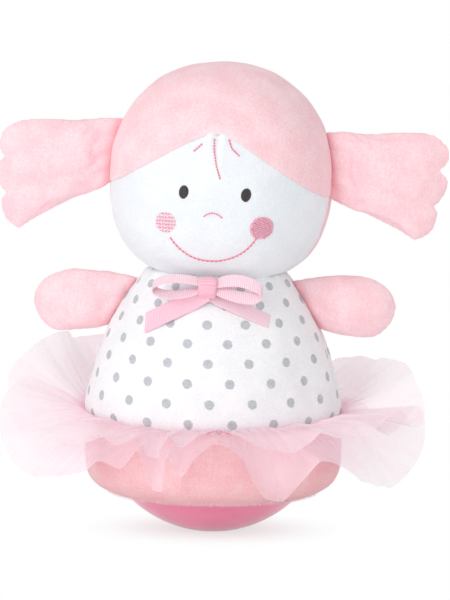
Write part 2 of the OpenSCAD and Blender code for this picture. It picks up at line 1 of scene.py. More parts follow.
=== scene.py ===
import math
import random

import bpy
from mathutils import Matrix, Vector, noise


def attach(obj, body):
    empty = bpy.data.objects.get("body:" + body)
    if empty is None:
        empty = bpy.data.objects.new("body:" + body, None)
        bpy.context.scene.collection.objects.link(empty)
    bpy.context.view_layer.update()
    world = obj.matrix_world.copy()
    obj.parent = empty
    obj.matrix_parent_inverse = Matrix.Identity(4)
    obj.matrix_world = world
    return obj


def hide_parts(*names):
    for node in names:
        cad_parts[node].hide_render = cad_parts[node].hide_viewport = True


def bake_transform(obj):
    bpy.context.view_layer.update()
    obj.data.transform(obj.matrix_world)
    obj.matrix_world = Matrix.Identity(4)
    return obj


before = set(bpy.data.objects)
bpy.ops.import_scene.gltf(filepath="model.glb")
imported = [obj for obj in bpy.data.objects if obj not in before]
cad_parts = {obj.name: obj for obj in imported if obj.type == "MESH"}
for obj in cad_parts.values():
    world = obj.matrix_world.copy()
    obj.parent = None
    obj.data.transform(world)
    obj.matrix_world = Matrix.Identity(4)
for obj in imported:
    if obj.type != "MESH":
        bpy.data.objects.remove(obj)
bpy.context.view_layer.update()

# Studio stage
# A sheet of white paper in a bright room, with a large soft lamp from the upper left, a weaker one from
# the right and a small low one for the dish. The camera stands six metres away with a long lens, a little
# to one side of the doll and a little above it.
mm = 0.001
room_level = 0.7
floor_size = 6
floor_middle = 1.2
floor_drop = 0.2 * mm
shadow_near = 0.012
shadow_far = 0.06
shadow_level = 0.68
turn = math.radians(4.5)
rise = math.radians(7)
lean = math.radians(0.8)
distance = 6.0
film_wide = 36
image_wide = 450
image_tall = 600
pixel = 0.42 * mm
foot_x = 211.5
foot_y = 528


class Wire:
    """A value in a finish: the output of one of its nodes, with arithmetic on it."""

    def __init__(self, tree, socket=None):
        self.tree = tree
        self.socket = socket

    def node(self, kind, settings=None, sockets=None, out=0):
        made = self.tree.nodes.new("ShaderNode" + kind)
        for name, value in (settings or {}).items():
            setattr(made, name, value)
        for name, value in (sockets or {}).items():
            if isinstance(value, Wire):
                self.tree.links.new(value.socket, made.inputs[name])
            else:
                made.inputs[name].default_value = value
        return Wire(self.tree, made.outputs[out])

    def math(self, operation, first, second=0.0):
        return self.node("Math", {"operation": operation}, {0: first, 1: second})

    def __add__(self, other):
        return self.math("ADD", self, other)

    def __radd__(self, other):
        return self.math("ADD", other, self)

    def __sub__(self, other):
        return self.math("SUBTRACT", self, other)

    def __rsub__(self, other):
        return self.math("SUBTRACT", other, self)

    def __mul__(self, other):
        return self.math("MULTIPLY", self, other)

    def __rmul__(self, other):
        return self.math("MULTIPLY", other, self)

    def step(self, low, high):
        ends = {"Value": self, "From Min": low, "From Max": high}
        return self.node("MapRange", {"interpolation_type": "SMOOTHSTEP"}, ends)

    def tint(self, first, second):
        return self.node("Mix", {"data_type": "RGBA"}, {"Factor": self, 6: first, 7: second}, 2)

    def part(self, number):
        return self.node("SeparateXYZ", sockets={0: self}, out=number)


def dye(red, green, blue):
    """A colour as read off a screen, 0 to 255, made linear."""
    levels = [c / 255 for c in (red, green, blue)]
    return (*[c / 12.92 if c <= 0.04045 else ((c + 0.055) / 1.055) ** 2.4 for c in levels], 1)


world = bpy.data.worlds.new("room_light")
bpy.context.scene.world = world
world.use_nodes = True
room = Wire(world.node_tree)
seen = room.node("LightPath", out=0)
mirrored = room.node("LightPath", out=3)
through = room.node("LightPath", out=6)
shown = room.math("MAXIMUM", room.math("MAXIMUM", seen, mirrored), through)
strength = room_level + (1 - room_level) * shown
backdrop = world.node_tree.nodes["Background"]
backdrop.inputs["Color"].default_value = (1, 1, 1, 1)
world.node_tree.links.new(strength.socket, backdrop.inputs["Strength"])

bpy.ops.object.select_all(action="DESELECT")
bpy.ops.mesh.primitive_plane_add(size=floor_size, location=(0, floor_middle, -floor_drop))
bpy.ops.object.transform_apply(location=True, rotation=False, scale=False)
floor = bpy.context.object
floor.name = "paper_floor"
paper = bpy.data.materials.new("paper_white")
paper.use_nodes = True
paper_shader = paper.node_tree.nodes["Principled BSDF"]
paper_shader.inputs["Base Color"].default_value = (1, 1, 1, 1)
paper_shader.inputs["Roughness"].default_value = 1
paper_shader.inputs["Specular IOR Level"].default_value = 0
sweep = Wire(paper.node_tree)
lit = sweep.node("Emission", sockets={"Color": (1, 1, 1, 1), "Strength": 1.0})
middle = sweep.node("TexCoord", out=3)
far = sweep.node("VectorMath", {"operation": "LENGTH"}, {0: middle}, 1).step(shadow_near, shadow_far)
facing = sweep.math("MAXIMUM", sweep.node("LightPath", out=0), sweep.node("LightPath", out=3))
matte = Wire(sweep.tree, paper_shader.outputs[0])
glow = facing * (shadow_level + far * (1 - shadow_level))
cover = sweep.node("MixShader", sockets={0: glow, 1: matte, 2: lit})
paper.node_tree.links.new(cover.socket, paper.node_tree.nodes["Material Output"].inputs["Surface"])
floor.data.materials.append(paper)


def lamp(name, place, aim, size, watts):
    bpy.ops.object.select_all(action="DESELECT")
    bpy.ops.object.light_add(type="AREA", location=place)
    made = bpy.context.object
    made.name = name
    made.data.size = size
    made.data.energy = watts
    made.rotation_euler = (Vector(aim) - Vector(place)).to_track_quat("-Z", "Y").to_euler()


lamp("key_lamp", place=(-0.75, -0.9, 0.95), aim=(0, 0, 0.09), size=0.8, watts=4.6)
lamp("fill_lamp", place=(0.9, -1.1, 0.35), aim=(0, 0, 0.1), size=0.9, watts=1.9)
lamp("low_lamp", place=(-0.3, -0.7, 0.13), aim=(0, 0, 0.02), size=0.24, watts=0.8)
away = Vector((math.sin(turn) * math.cos(rise), -math.cos(turn) * math.cos(rise), math.sin(rise)))
level = Vector((math.cos(turn), math.sin(turn), 0))
upward = away.cross(level)
right = level * math.cos(lean) + upward * math.sin(lean)
top = upward * math.cos(lean) - level * math.sin(lean)
aim = right * (image_wide / 2 - foot_x) * pixel + top * (foot_y - image_tall / 2) * pixel
spot = aim + away * distance
bpy.ops.object.camera_add()
camera = bpy.context.object
camera.name = "camera"
camera.data.lens = film_wide * distance / (image_tall * pixel)
camera.matrix_world = Matrix(
    (
        (right.x, top.x, away.x, spot.x),
        (right.y, top.y, away.y, spot.y),
        (right.z, top.z, away.z, spot.z),
        (0, 0, 0, 1),
    )
)
bpy.context.scene.camera = camera
bpy.context.scene.view_settings.view_transform = "Standard"

# Base dish and lid
# Two injection-moulded shells: a glossy pink dish that the doll rocks on and a plain lid screwed over it.
# Both keep fine moulding ripples and a few rubbed patches that are less glossy.


def finish(name, roughness, metallic=0.0, **fixed):
    """A new material with its shader's constants set, and the start of its wires."""
    made = bpy.data.materials.new(name)
    made.use_nodes = True
    shader = made.node_tree.nodes["Principled BSDF"]
    shader.inputs["Roughness"].default_value = roughness
    shader.inputs["Metallic"].default_value = metallic
    for socket, value in fixed.items():
        shader.inputs[socket.replace("_", " ")].default_value = value
    return made, shader, Wire(made.node_tree)


def feed(wire, shader, socket):
    wire.tree.links.new(wire.socket, shader.inputs[socket])


def speckle(wires, size, detail=2.0, stretch=(1, 1, 1)):
    """Noise whose spots are about size across, on the piece's own coordinates."""
    place = wires.node("TexCoord", out=3)
    scaled = wires.node("Mapping", sockets={"Vector": place, "Scale": tuple(s / size for s in stretch)})
    return wires.node("TexNoise", sockets={"Vector": scaled, "Scale": 1.0, "Detail": detail})


def raise_by(wires, shader, height, depth, strength=1.0):
    bump = wires.node("Bump", sockets={"Height": height, "Distance": depth, "Strength": strength})
    feed(bump, shader, "Normal")


def moulded(name, colour, deeper, roughness, coat):
    made, shader, wires = finish(name, roughness, Coat_Weight=coat, Coat_Roughness=0.12)
    drift = speckle(wires, 14 * mm)
    feed(drift.step(0.3, 0.75).tint(colour, deeper), shader, "Base Color")
    scuffs = speckle(wires, 3 * mm, 4, (1, 1, 0.25)).step(0.58, 0.75)
    feed(roughness + scuffs * 0.18, shader, "Roughness")
    raise_by(wires, shader, speckle(wires, 0.6 * mm, 1), 0.015 * mm)
    return made


def coat_node(node, material):
    """Give a CAD node that stays as it is its finish."""
    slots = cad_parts[node].data.materials
    slots.clear()
    slots.append(material)


coat_node("base_dish", moulded("dish_plastic_pink", dye(255, 146, 184), dye(251, 138, 176), 0.3, 0.35))
coat_node("base_lid", moulded("lid_plastic_pale", dye(240, 220, 226), dye(232, 210, 217), 0.42, 0.1))

# Ballast, chime and fasteners
# A cast iron slug, a pressed steel plate with turned steel rods, a brass link and zinc-plated screws.
# All of it sits sealed under the lid and is fixed by the screws or hung on pins.


def metal(name, colour, deeper, roughness, grain, relief):
    made, shader, wires = finish(name, roughness, 1.0)
    clouds = speckle(wires, 5 * mm, 3)
    feed(clouds.step(0.3, 0.7).tint(colour, deeper), shader, "Base Color")
    streaks = speckle(wires, 1.2 * mm, 3, grain)
    feed(roughness - 0.08 + streaks * 0.16, shader, "Roughness")
    raise_by(wires, shader, streaks, relief)
    return made


zinc = metal("zinc_plate", dye(205, 206, 208), dye(184, 186, 190), 0.34, (1, 1, 0.3), 0.01 * mm)
steel = metal("turned_steel", dye(196, 199, 205), dye(170, 174, 181), 0.26, (0.25, 0.25, 4), 0.008 * mm)
brass = metal("brass_link", dye(214, 178, 104), dye(190, 150, 80), 0.3, (1, 1, 1), 0.008 * mm)
iron = metal("cast_iron", dye(92, 90, 90), dye(66, 64, 64), 0.62, (1, 1, 1), 0.08 * mm)
for node, material in (
    ("ballast_weight", iron),
    ("ballast_screw", zinc),
    ("lid_screws", zinc),
    ("chime_plate", steel),
    ("chime_rods", steel),
    ("striker_hanger", zinc),
    ("striker_link", brass),
    ("striker", steel),
):
    coat_node(node, material)

# Stuffing of body and head
# Loose polyester fibre packed by hand into the covers, so its outside follows them in soft lumps.
# Each wad starts from the space that the CAD keeps for it.
wool_grain = 1.8 * mm
wool_depth = 0.5 * mm


def lumps(place, size):
    return noise.noise(Vector(place) / size)


def fibre_wad(name, node):
    bpy.ops.object.select_all(action="DESELECT")
    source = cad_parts[node]
    wad = bpy.data.objects.new(name, source.data.copy())
    bpy.context.scene.collection.objects.link(wad)
    bpy.context.view_layer.objects.active = wad
    wad.select_set(True)
    bpy.ops.object.mode_set(mode="EDIT")
    bpy.ops.mesh.select_all(action="SELECT")
    bpy.ops.mesh.remove_doubles(threshold=0.01 * mm)
    bpy.ops.object.mode_set(mode="OBJECT")
    remesh = wad.modifiers.new("wool", "REMESH")
    remesh.mode = "VOXEL"
    remesh.voxel_size = wool_grain
    bpy.ops.object.modifier_apply(modifier="wool")
    for point, normal in [(p, p.normal.copy()) for p in wad.data.vertices]:
        lump = lumps(point.co, 7 * mm) + 0.5 * lumps(point.co, 3 * mm)
        point.co += normal * (lump - 1.0) * wool_depth
    bpy.ops.object.shade_smooth()
    wad.data.materials.clear()
    wad.data.materials.append(wool)
    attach(wad, "doll")
    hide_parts(node)


wool, wool_shader, wool_wires = finish("polyester_wool", 0.95, Sheen_Weight=0.3)
strands = speckle(wool_wires, 1.5 * mm, 4, (1, 0.4, 2))
feed(strands.step(0.3, 0.7).tint(dye(247, 245, 240), dye(226, 222, 214)), wool_shader, "Base Color")
raise_by(wool_wires, wool_shader, strands, 0.4 * mm)
fibre_wad("body_wool", "body_stuffing")
fibre_wad("head_wool", "head_stuffing")

# Hem drawcord
# Three-strand polyester cord, a closed ring that runs in the band's hem and ties it into the groove
# under the dish's flange.
hem_r = 35.35 * mm
hem_z = 16.88 * mm
cord_r = 0.68 * mm
cord_strands = 3
cord_twists = 60
bpy.ops.object.select_all(action="DESELECT")
bpy.ops.mesh.primitive_torus_add(
    location=(0, 0, hem_z),
    major_radius=hem_r,
    minor_radius=cord_r,
    major_segments=480,
    minor_segments=12,
)
bpy.ops.object.transform_apply(location=True, rotation=False, scale=False)
drawcord = bpy.context.object
drawcord.name = "hem_cord"
for point in drawcord.data.vertices:
    angle = math.atan2(point.co.y, point.co.x)
    middle = Vector((hem_r * math.cos(angle), hem_r * math.sin(angle), hem_z))
    out = point.co - middle
    around = math.atan2(out.z, out.dot(middle.normalized()))
    strand = abs(math.sin(cord_strands / 2 * (around + cord_twists * angle)))
    point.co = middle + out * (0.8 + 0.25 * strand)
bpy.ops.object.shade_smooth()
twine, twine_shader, twine_wires = finish("cord_twine", 0.85)
lay = speckle(twine_wires, 0.5 * mm, 3)
feed(lay.step(0.3, 0.7).tint(dye(246, 240, 240), dye(226, 214, 216)), twine_shader, "Base Color")
raise_by(twine_wires, twine_shader, lay, 0.06 * mm)
drawcord.data.materials.append(twine)
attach(drawcord, "doll")
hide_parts("hem_drawcord")

# Lower band
# Pink plush velour cut as a ring, gathered on the drawcord under its fuzzy lower edge and sewn to the dress
# above. It puffs out over the dish because the body is stuffed behind it.
velour_t = 0.9 * mm
merge_gap = 0.002 * mm
body_r = 54.0
waist_z = 46.0
seam_z = 47.5
band_low = (36.97, 15.3)
band_drop = 31.54
band_power = 5.5
band_rows = 60
gather_count = 34
gather_depth = 0.45
gather_from = 0.45
pile_count = 5200
pile_from = 0.76
pile_half = 0.12
hem_from = 0.93
hem_roll = 1.1
hem_sag = 0.55


def lay_cloth(name, across, along, place, thick, ring=False):
    """Cut a flat grid, lay each point where place says, and give the cloth its thickness inwards."""
    bpy.ops.object.select_all(action="DESELECT")
    bpy.ops.mesh.primitive_grid_add(x_subdivisions=across, y_subdivisions=along, size=1)
    piece = bpy.context.object
    piece.name = name
    piece.data.name = name
    for point in piece.data.vertices:
        point.co = place(point.co.x + 0.5, point.co.y + 0.5)
    if ring:
        bpy.ops.object.mode_set(mode="EDIT")
        bpy.ops.mesh.select_all(action="SELECT")
        bpy.ops.mesh.remove_doubles(threshold=merge_gap)
        bpy.ops.object.mode_set(mode="OBJECT")
    if thick:
        wall = piece.modifiers.new("thickness", "SOLIDIFY")
        wall.thickness = thick
        wall.offset = -1
        bpy.ops.object.modifier_apply(modifier="thickness")
    bpy.ops.object.shade_smooth_by_angle(angle=math.radians(50))
    return piece


def velour(name, colour, shaded, nap, pile):
    """Short-piled knit: patches where the nap lies over, fine pile, and a light bloom at grazing angles."""
    bloom = {"Sheen_Weight": 0.18, "Sheen_Roughness": 0.5, "Specular_IOR_Level": 0.15}
    made, shader, wires = finish(name, 0.92, **bloom)
    patches = speckle(wires, nap, 3)
    tufts = speckle(wires, pile, 3)
    wales = speckle(wires, 0.9 * mm, 1, (1, 1, 0.12))
    mixed = patches * 0.4 + tufts * 0.45 + wales * 0.15
    feed(mixed.step(0.36, 0.66).tint(shaded, colour), shader, "Base Color")
    raise_by(wires, shader, tufts * 0.7 + wales * 0.3, 0.35 * mm, 0.55)
    return made, shader, wires


def outward(angle):
    """The level direction at an angle round the doll from its front."""
    return Vector((math.sin(angle), -math.cos(angle), 0))


def ring_point(angle, r, z):
    """The point at an angle from the doll's front, a distance from its axis and a height."""
    return outward(angle) * r + Vector((0, 0, z))


def band_profile():
    """The band's outline from its seam to the curled hem, as distances from the axis and heights."""
    outline = [(body_r - 1.6, seam_z - 0.6), (body_r - 0.6, seam_z - 1.1)]
    for i in range(2, 97):
        share = (waist_z - band_low[1]) / band_drop * i / 96
        outline.append((body_r * (1 - share**band_power) ** (1 / band_power), waist_z - band_drop * share))
    for i in range(1, 7):
        curl = math.radians(30 * i)
        inward = hem_roll * (1 - math.cos(curl))
        outline.append((band_low[0] - inward, band_low[1] + 0.1 - hem_sag * math.sin(curl) + i * 0.12))
    return outline


def along_outline(outline, share):
    """The point at a share of an outline's length."""
    lengths = [math.dist(a, b) for a, b in zip(outline, outline[1:])]
    left = share * sum(lengths)
    for (a, b), length in zip(zip(outline, outline[1:]), lengths):
        if left <= length:
            t = left / length
            return (a[0] + (b[0] - a[0]) * t, a[1] + (b[1] - a[1]) * t)
        left -= length
    return outline[-1]


band_outline = band_profile()
band_steps = [along_outline(band_outline, i / band_rows) for i in range(band_rows + 1)]


def band_point(u, v):
    angle = 2 * math.pi * u
    fall = 1 - v
    r, z = band_steps[round(fall * band_rows)]
    ripple = math.sin(gather_count * angle + 3 * lumps(outward(angle) * 2.2, 1))
    gather = ripple * gather_depth * max(0, fall - gather_from) * (fall < hem_from)
    soft = 0.8 * lumps(ring_point(angle, r, z), 15) * min(1, 6 * fall) * max(0, 1 - fall * 1.05)
    r += gather + soft
    return ring_point(angle, r, z) * mm


def hanging_pile():
    """The fluffy lower edge: short tapered fibres that stand out where the cloth turns in over the rim."""
    chance = random.Random(5)
    points = []
    for _ in range(pile_count):
        angle = chance.uniform(0, 2 * math.pi)
        side = Vector((math.cos(angle), math.sin(angle), 0))
        r, z = along_outline(band_outline, chance.uniform(pile_from, hem_from))
        root = ring_point(angle, r, z)
        tip = root + outward(angle) * chance.uniform(0.0, 0.6) + side * chance.gauss(0, 0.3)
        tip.z -= chance.uniform(0.8, 1.7)
        points += [root - side * pile_half, root + side * pile_half, tip]
    tuft = bpy.data.meshes.new("band_pile")
    tuft.from_pydata([p * mm for p in points], [], [(i, i + 1, i + 2) for i in range(0, len(points), 3)])
    return tuft


band = lay_cloth("velour_band", 288, band_rows, band_point, velour_t, ring=True)
band_pink, _, _ = velour("velour_band_pink", dye(255, 214, 216), dye(250, 192, 197), 11 * mm, 0.9 * mm)
band.data.materials.append(band_pink)
pile = bpy.data.objects.new("band_pile", hanging_pile())
bpy.context.collection.objects.link(pile)
# Painted highlight: the pile is the band's velour drawn paler, where its fibres catch the light along the
# lower edge.
pile_lit_pink, _, _ = velour("velour_pile_lit", dye(255, 232, 233), dye(255, 220, 222), 6 * mm, 0.5 * mm)
pile.data.materials.append(pile_lit_pink)
bpy.ops.object.select_all(action="DESELECT")
pile.select_set(True)
band.select_set(True)
bpy.context.view_layer.objects.active = band
bpy.ops.object.join()
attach(band, "doll")
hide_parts("lower_band")

# Dress
# White short-pile velour with a printed grid of staggered grey dots, cut as a front and a back panel.
# The panels are sewn together down the sides, gathered at the neck and sewn to the band at the waist.
dress_rise = 81.25
dress_power = 1.7
dress_low = seam_z - 0.8
dress_rows = 72
neck_z = 109.2
collar = [(28.2, neck_z + 0.7), (26.4, neck_z + 1.2), (24.4, neck_z + 1.3)]
tuck_rise = 7
tuck_depth = 2.0
neck_gathers = 23
neck_gather = 0.55
gather_start = 0.72
side_crease = 0.9
dot_row = 8.55
dot_turn = 19.7
dot_start = 3.6
dot_drift = 3 / 44
dot_back = 4
dot_ring = 53.5
dot_crowding = 0.47
first_row = 4
dot_core = 1.78
dot_rim = 2.32


def bell(off, wide):
    """One at the middle, and soft to nothing on both sides."""
    return math.exp(-((off / wide) ** 2))


def dress_at(z):
    return body_r * (1 - (max(z - waist_z, 0) / dress_rise) ** dress_power) ** (1 / dress_power)


def dress_outline():
    outline = []
    for i in range(121):
        z = dress_low + (neck_z - dress_low) * i / 120
        tuck = max(0, 1 - (z - dress_low) / tuck_rise)
        outline.append((dress_at(z) + 0.25 - tuck_depth * tuck**2.2, z))
    return outline + collar


dress_steps = [along_outline(dress_outline(), i / dress_rows) for i in range(dress_rows + 1)]


def dress_point(angle, v):
    r, z = dress_steps[round(v * dress_rows)]
    spot = ring_point(angle, r, z)
    crease = bell(math.degrees(abs(angle)) - 90, 2.2)
    ripple = math.sin(neck_gathers * angle + 5 * lumps(outward(angle) * 3, 1))
    gathers = neck_gather * ripple * max(0, (v - gather_start) / (1 - gather_start)) ** 1.5
    soft = 0.9 * lumps(spot, 21) + 0.35 * lumps(spot, 8)
    r += soft * min(1, 8 * v) * min(1, 6 * (1 - v)) + gathers - side_crease * crease
    return ring_point(angle, r, z) * mm


def print_grid(piece, back):
    """Keep, on each point, its place on the printed cloth in dot steps and the dots' spacing there."""
    marks = piece.data.attributes.new("dot_place", "FLOAT_VECTOR", "POINT")
    for point in piece.data.vertices:
        x, y, z = point.co / mm
        along = min(range(dress_rows + 1), key=lambda i: abs(dress_steps[i][1] - z))
        length = sum(math.dist(a, b) for a, b in zip(dress_steps[:along], dress_steps[1 : along + 1]))
        length += z - dress_steps[along][1]
        angle = math.degrees(math.atan2(x, -y))
        if back:
            angle = math.degrees(math.atan2(-x, y)) + dot_back
        start = dot_start - dot_drift * length
        r = dress_at(z)
        turned = dot_turn / (r / dot_ring) ** dot_crowding
        row = (length - first_row) / dot_row
        marks.data[point.index].vector = ((angle - start) / turned, row, r * math.radians(turned))


def dotted_velour():
    made, shader, wires = velour("velour_dotted", dye(249, 249, 250), dye(238, 238, 241), 13 * mm, 0.8 * mm)
    plain = Wire(wires.tree, shader.inputs["Base Color"].links[0].from_socket)
    place = wires.node("Attribute", {"attribute_name": "dot_place"}, out=1)
    along = place.part(1)
    row = wires.math("ROUND", along)
    shifted = place.part(0) + wires.math("FRACT", (row + 21) * 0.5)
    aside = (shifted - wires.math("ROUND", shifted)) * place.part(2)
    above = (along - row) * dot_row
    reach = wires.math("SQRT", aside * aside + above * above)
    ragged = reach + (speckle(wires, 0.8 * mm, 2) - 0.5) * 0.7
    dot = 1 - ragged.step(dot_core, dot_rim)
    grey = speckle(wires, 1.1 * mm, 2).step(0.25, 0.75).tint(dye(176, 181, 187), dye(198, 201, 206))
    feed((dot * 0.95).tint(plain, grey), shader, "Base Color")
    return made


dotted = dotted_velour()
for name, node, middle in (
    ("dress_front", "dress_front_panel", 0),
    ("dress_back", "dress_back_panel", math.pi),
):
    panel = lay_cloth(
        name, 180, dress_rows, lambda u, v: dress_point(middle + math.pi * (u - 0.5), v), velour_t
    )
    print_grid(panel, middle > 0)
    panel.data.materials.append(dotted)
    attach(panel, "doll")
    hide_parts(node)

# Tutu
# Two layers of soft nylon tulle, each a long strip gathered into the waist seam. It puffs up over the
# dress's edge, turns over and opens into deep folds. Raw cut edges, no hem.
tutu_seam = (53.2, seam_z - 0.4)
tulle_reach = 37.0
net_threads = 1360
net_rows = 30
net_cover = 0.64
pleat_count = 88
pleat_depth = 0.75
crimp_depth = 0.9
upper_puff = 45
side_puff = 75
puff_sway = 50
lower_puff = 25
puff_share = 0.085
turn_over = 4.5
pleat_fade = 3.5
edge_wander = 0.03
# Each fold: angle from the front, rise of the upper layer and rise of the lower one, in degrees
tutu_folds = [
    (-180, 30, -14), (-160, 6, -37), (-143, 50, 8), (-128, 50, -20), (-112, 66, 20), (-95, 46, 2),
    (-78, 14, -35), (-61, -12, -48), (-44, -8, -41), (-32, -10, -32), (-27, -2, -21), (-22, -8, -27),
    (-17, 6, -10), (-14, -13, -46), (-11, -15, -48), (-8, 2, -14), (-4, -8, -31), (1, 2, -12), (6, 7, -1),
    (11, 3, -9), (16, -6, -34), (22, -12, -57), (26, -14, -59), (30, -7, -35), (35, 4, -18), (41, -7, -25),
    (53, -2, -41), (66, 8, -54), (79, -10, -60), (94, 22, -22), (110, 36, 4), (127, 34, -28),
    (144, 30, -2), (162, -4, -37),
]


def fold_lift(layer, i, q):
    """Rise of a layer at a share q of the way from fold i to the next, level at crests and roots."""
    levels = [tutu_folds[(i + k) % len(tutu_folds)][layer] for k in (-1, 0, 1, 2)]
    steps = [after - before for before, after in zip(levels, levels[1:])]
    slopes = [2 * a * b / (a + b) if a * b > 0 else 0 for a, b in zip(steps, steps[1:])]
    eased = q * q * (3 - 2 * q)
    return levels[1] + steps[1] * eased + q * (1 - q) * (slopes[0] * (1 - q) - slopes[1] * q)


def tulle_path(layer, u):
    """Points of one thread of the net from the seam to the cut edge, at a share u of the strip's length."""
    place = u * len(tutu_folds)
    i = int(place) % len(tutu_folds)
    q = place - int(place)
    width = (tutu_folds[(i + 1) % len(tutu_folds)][0] - tutu_folds[i][0]) % 360
    lift = fold_lift(layer, i, q)
    turned = math.radians(tutu_folds[i][0] + width * q)
    way = outward(turned)
    length = tulle_reach * (1 + edge_wander * lumps(way * 30, 9))
    puff = lower_puff
    if layer == 1:
        puff = upper_puff + side_puff * (1 - math.cos(turned) ** 2) + puff_sway * lumps(way * 54, 9)
    r, z = tutu_seam
    path = []
    for k in range(net_rows + 1):
        s = k / net_rows
        opened = 1 - math.exp(-turn_over * s)
        bend = math.radians(lift * opened + puff * math.exp(-s / puff_share))
        if k:
            r += length / net_rows * math.cos(bend)
            z += length / net_rows * math.sin(bend)
        fade = math.exp(-pleat_fade * s) * min(1, 14 * s + 0.2)
        pleat = math.sin(pleat_count * turned) * pleat_depth * fade
        crimp = lumps(way * 40 + Vector((0, 0, 9 * layer)), 4) * crimp_depth * s
        roll = turned + 0.05 * s * lumps(way * 54 + Vector((0, 0, 20 * s)), 14)
        raised = pleat + crimp
        path.append(ring_point(roll, r - raised * math.sin(bend), z + raised * math.cos(bend)) * mm)
    return path


def tulle(name, colour, deep):
    """Fine net: diamond holes under a millimetre wide, closer and pinker where it is gathered."""
    made, shader, wires = finish(
        name,
        0.7,
        Sheen_Weight=0.3,
        Specular_IOR_Level=0.2,
        # Painted light: a faint glow standing in for light that passes through the thin net.
        Emission_Color=dye(255, 236, 243),
        Emission_Strength=0.06,
    )
    place = wires.node("UVMap", {"uv_map": "UVMap"})
    along = place.part(0)
    out = place.part(1)
    first = wires.math("ABSOLUTE", wires.math("SINE", along * 4400 + out * 130))
    second = wires.math("ABSOLUTE", wires.math("SINE", along * 4400 - out * 130))
    holes = first.step(0.1, 0.6) * second.step(0.1, 0.6)
    gathered = 1 - out.step(0.0, 0.35)
    clouds = speckle(wires, 9 * mm, 2)
    aside = wires.math("ABSOLUTE", wires.node("TexCoord", out=3).part(0))
    sides = aside.step(40 * mm, 50 * mm) - aside.step(56 * mm, 72 * mm)
    pulled = wires.node("CombineXYZ", sockets={0: along * 150, 1: out * 1.6})
    threads = wires.node("TexNoise", sockets={"Vector": pulled, "Scale": 1.0, "Detail": 2.0})
    streaks = threads.step(0.4, 0.68)
    feed((gathered * 0.8 + clouds * 0.2 + streaks * 0.26 - 0.12).tint(colour, deep), shader, "Base Color")
    closed = net_cover + gathered * 0.15 + sides * 0.22 + streaks * 0.05
    feed(closed - holes * 0.24 - out.step(0.55, 1.0) * 0.14, shader, "Alpha")
    raise_by(wires, shader, holes, 0.06 * mm, 0.3)
    return made


net_upper = tulle("tulle_pale", dye(252, 233, 241), dye(251, 202, 217))
net_lower = tulle("tulle_pink", dye(252, 231, 240), dye(250, 192, 210))
for layer, name, node, net in (
    (1, "tulle_upper", "tutu_upper_layer", net_upper),
    (2, "tulle_lower", "tutu_lower_layer", net_lower),
):
    threads = [tulle_path(layer, (i % net_threads) / net_threads) for i in range(net_threads + 1)]
    ruffle = lay_cloth(
        name,
        net_threads,
        net_rows,
        lambda u, v: threads[round(u * net_threads)][round(v * net_rows)],
        0,
        ring=True,
    )
    ruffle.data.materials.append(net)
    edge = sum((threads[i][-1] - threads[i + 1][-1]).length for i in range(net_threads))
    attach(ruffle, "doll")
    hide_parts(node)

# Head covers
# Three pieces of velour over a stuffed ball: a white face, a pink hood front whose edge is an inverted V
# turned under on the face, and a pink hood back. The head sits on the neck seam with a slight tilt.
head_r = 46.0
crown_r = 45.8
jaw_power = 2.65
crown_power = 2.1
head_lift = 41.2
neck_depth = 41
head_tilt = math.radians(3)
hood_peak = 20.6
hood_drop = 27.1
hood_round = 0.18
hood_lap = 1.6
hood_proud = 0.75
nape_proud = 0.6
face_tuck = 0.6
seam_depth = 0.7
dart_low = 2
dart_rise = 18
head_place = (
    Matrix.Translation((0, 0, neck_z * mm))
    @ Matrix.Rotation(head_tilt, 4, "Y")
    @ Matrix.Translation((0, 0, head_lift * mm))
)
# Each fold of the dart under the hood's peak: place, width and depth
dart_folds = [(-2.6, 1.5, 0.9), (3.4, 1.6, 0.72), (0.4, 0.9, -0.8)]


def head_at(h):
    if h < 0:
        return head_r * max(0, 1 - (-h / head_r) ** jaw_power) ** (1 / jaw_power)
    return head_r * max(0, 1 - (h / crown_r) ** crown_power) ** (1 / crown_power)


def hood_edge(x):
    soft = math.sqrt((x / head_r) ** 2 + hood_round**2) - hood_round
    return hood_peak - hood_drop * soft / (math.sqrt(1 + hood_round**2) - hood_round)


def edge_level(angle):
    """Height of the hood's edge on the head at an angle from the front."""
    low, high = -20.0, 25.0
    for _ in range(40):
        h = (low + high) / 2
        if h < hood_edge(head_at(h) * math.sin(angle)):
            low = h
        else:
            high = h
    return low


def head_bend(h):
    """The outline's own angle at a height, so that steps by it stay even over the crown."""
    if h < 0:
        return -math.asin(min(1, (-h / head_r) ** (jaw_power / 2)))
    return math.asin(min(1, (h / crown_r) ** (crown_power / 2)))


def head_level(bend):
    if bend < 0:
        return -head_r * math.sin(-bend) ** (2 / jaw_power)
    return crown_r * math.sin(bend) ** (2 / crown_power)


def head_point(angle, h, proud):
    r = head_at(h)
    spot = ring_point(angle, r, h)
    normal = (outward(angle) * max(r, 0.1) / head_r + Vector((0, 0, h / head_r))).normalized()
    soft = 0.55 * lumps(spot + Vector((90, 0, 0)), 19) + 0.25 * lumps(spot, 7)
    seam = bell(math.degrees(abs(math.remainder(angle, 2 * math.pi))) - 90, 1.8)
    return head_place @ ((spot + normal * (proud + soft - seam_depth * seam * min(1, r / 20))) * mm)


def neck_level(angle):
    return -head_lift + head_at(-neck_depth) * math.sin(angle) * math.tan(head_tilt)


def dart(x, h):
    """Small folds that the dart raises under the hood's peak."""
    down = max(0, min(1, (h - dart_low) / dart_rise))
    return sum(depth * bell(x - place, wide) for place, wide, depth in dart_folds) * down**1.5


def face_point(u, v):
    angle = math.pi * (u - 0.5)
    low = head_bend(neck_level(angle))
    high = head_bend(edge_level(angle) + hood_lap)
    h = head_level(low + (high - low) * v)
    tuck = max(0, 1 - (1 - v) / 0.03)
    return head_point(angle, h, dart(head_at(h) * math.sin(angle), h) - face_tuck * tuck)


